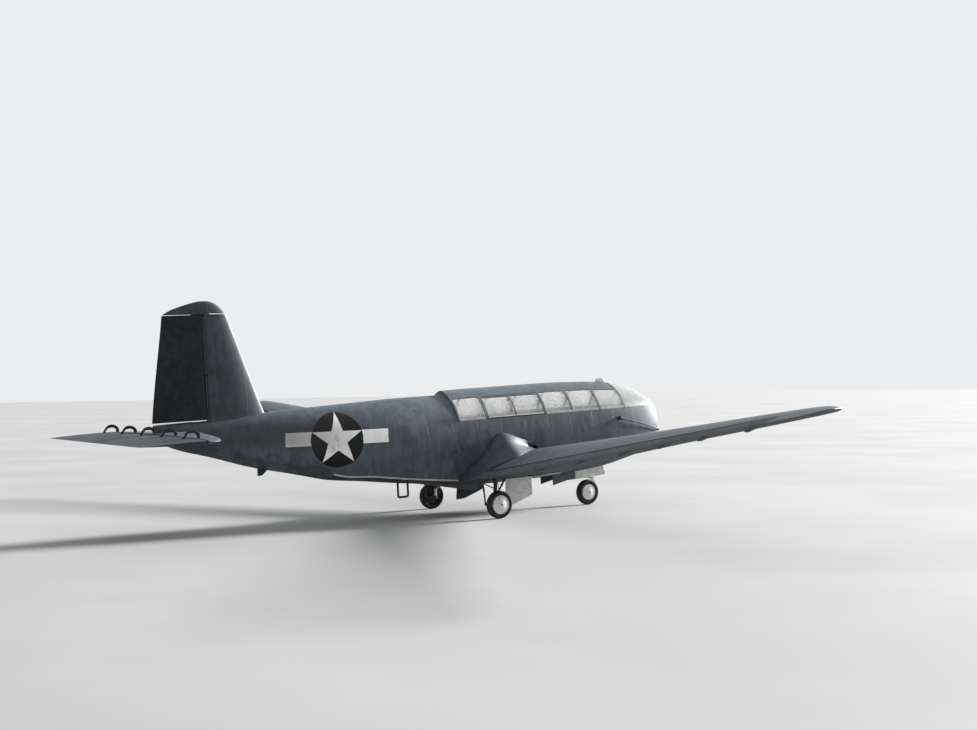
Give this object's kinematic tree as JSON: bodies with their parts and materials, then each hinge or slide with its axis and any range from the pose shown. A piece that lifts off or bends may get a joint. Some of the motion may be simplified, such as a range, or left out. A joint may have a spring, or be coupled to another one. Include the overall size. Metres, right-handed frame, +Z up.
{
  "type": "amphibious transport sailplane glider",
  "caption": "Boat-hulled transport sailplane with a glazed cabin, low cantilever wing, single fin and nose-wheel gear.",
  "frame": {"origin": "on the floor, under the middle of the whole glider's length and span", "axes": "+X to the nose, +Y to port, +Z up, with the glider parked on its three wheels and its keel line 2.7 degrees nose up"},
  "size_m": [13.3766, 21.95, 4.4829],
  "materials": {
    "hull_paint": "satin",
    "roof_paint": "satin",
    "canopy_frame": "satin",
    "canopy_pane": "satin",
    "control_fabric": "matte",
    "bare_wood": "satin",
    "seat_fabric": "matte",
    "panel_black": "matte",
    "gear_steel": "satin",
    "bare_metal": "satin",
    "tyre_rubber": "matte",
    "wheel_disc": "satin"
  },
  "bodies": {
    "airframe": {"hull_cabin": "hull_paint", "hull_aft": "hull_paint", "rear_bulkhead": "bare_wood", "cabin_floor": "bare_wood", "canopy_frames": "canopy_frame", "canopy_roof": "roof_paint", "windshield": "canopy_pane", "rear_window_right": "canopy_pane", "rear_window_left": "canopy_pane", "front_window_right": "canopy_pane", "front_window_left": "canopy_pane", "pilot_seats": "seat_fabric", "troop_bench_right": "seat_fabric", "troop_bench_left": "seat_fabric", "instrument_panel": "panel_black", "control_columns": "gear_steel", "roof_vent": "gear_steel", "tow_bridle": "gear_steel", "wing_right": "hull_paint", "wing_left": "hull_paint", "fin": "hull_paint", "tailplane": "hull_paint", "tail_bumper": "gear_steel", "boarding_step": "gear_steel", "main_leg_right": "gear_steel", "main_leg_left": "gear_steel", "main_gear_door_right": "bare_metal", "main_gear_door_left": "bare_metal", "nose_leg": "gear_steel", "nose_gear_door_right": "bare_metal", "nose_gear_door_left": "bare_metal"},
    "flap_right": {"flap_right": "control_fabric"},
    "flap_left": {"flap_left": "control_fabric"},
    "aileron_right": {"aileron_right": "control_fabric"},
    "aileron_left": {"aileron_left": "control_fabric"},
    "rudder": {"rudder": "control_fabric"},
    "elevator": {"elevator": "control_fabric"},
    "hatch_right": {"hatch_right": "canopy_frame", "hatch_glass_right": "canopy_pane"},
    "hatch_left": {"hatch_left": "canopy_frame", "hatch_glass_left": "canopy_pane"},
    "main_wheel_right": {"main_tyre_right": "tyre_rubber", "main_hub_right": "wheel_disc"},
    "main_wheel_left": {"main_tyre_left": "tyre_rubber", "main_hub_left": "wheel_disc"},
    "nose_fork": {"nose_fork": "bare_metal"},
    "nose_wheel": {"nose_tyre": "tyre_rubber", "nose_hub": "wheel_disc"}
  },
  "joints": [
    {"name": "flap_right_hinge", "type": "hinge", "parent": "airframe", "child": "flap_right", "pos_m": [1.1594, -1.48, 0.9233], "axis": [-0.0452, -0.9878, 0.1489], "range_deg": [0, 40]},
    {"name": "flap_left_hinge", "type": "hinge", "parent": "airframe", "child": "flap_left", "pos_m": [1.1594, 1.48, 0.9233], "axis": [0.0452, -0.9878, -0.1489], "range_deg": [0, 40]},
    {"name": "aileron_right_hinge", "type": "hinge", "parent": "airframe", "child": "aileron_right", "pos_m": [0.9987, -4.99, 1.4525], "axis": [-0.0452, -0.9881, 0.1469], "range_deg": [-20, 20]},
    {"name": "aileron_left_hinge", "type": "hinge", "parent": "airframe", "child": "aileron_left", "pos_m": [0.9987, 4.99, 1.4525], "axis": [0.0452, -0.9881, -0.1469], "range_deg": [-20, 20]},
    {"name": "rudder_hinge", "type": "hinge", "parent": "airframe", "child": "rudder", "pos_m": [-4.6366, 0, 2.7178], "axis": [-0.0471, 0, 0.9989], "range_deg": [-25, 25]},
    {"name": "elevator_hinge", "type": "hinge", "parent": "airframe", "child": "elevator", "pos_m": [-5.711, 0, 1.9383], "axis": [0, -1, 0], "range_deg": [-28, 20]},
    {"name": "hatch_right_hinge", "type": "hinge", "parent": "airframe", "child": "hatch_right", "pos_m": [1.5994, -0.3985, 2.5263], "axis": [-0.9987, 0, -0.0516], "range_deg": [0, 80]},
    {"name": "hatch_left_hinge", "type": "hinge", "parent": "airframe", "child": "hatch_left", "pos_m": [1.5994, 0.3985, 2.5263], "axis": [0.9987, 0, 0.0516], "range_deg": [0, 80]},
    {"name": "main_wheel_right_spin", "type": "hinge", "parent": "airframe", "child": "main_wheel_right", "pos_m": [1.4182, -1.405, 0.29], "axis": [0, 1, 0], "continuous": true},
    {"name": "main_wheel_left_spin", "type": "hinge", "parent": "airframe", "child": "main_wheel_left", "pos_m": [1.4182, 1.405, 0.29], "axis": [0, 1, 0], "continuous": true},
    {"name": "nose_swivel", "type": "hinge", "parent": "airframe", "child": "nose_fork", "pos_m": [4.8982, 0, 0.65], "axis": [0, 0, 1], "range_deg": [-25, 25]},
    {"name": "nose_wheel_spin", "type": "hinge", "parent": "nose_fork", "child": "nose_wheel", "pos_m": [4.7682, 0, 0.29], "axis": [0, 1, 0], "continuous": true}
  ],
  "couplings": [
    {"joint": "flap_left_hinge", "follows": "flap_right_hinge", "ratio": 1},
    {"joint": "aileron_left_hinge", "follows": "aileron_right_hinge", "ratio": -1}
  ]
}
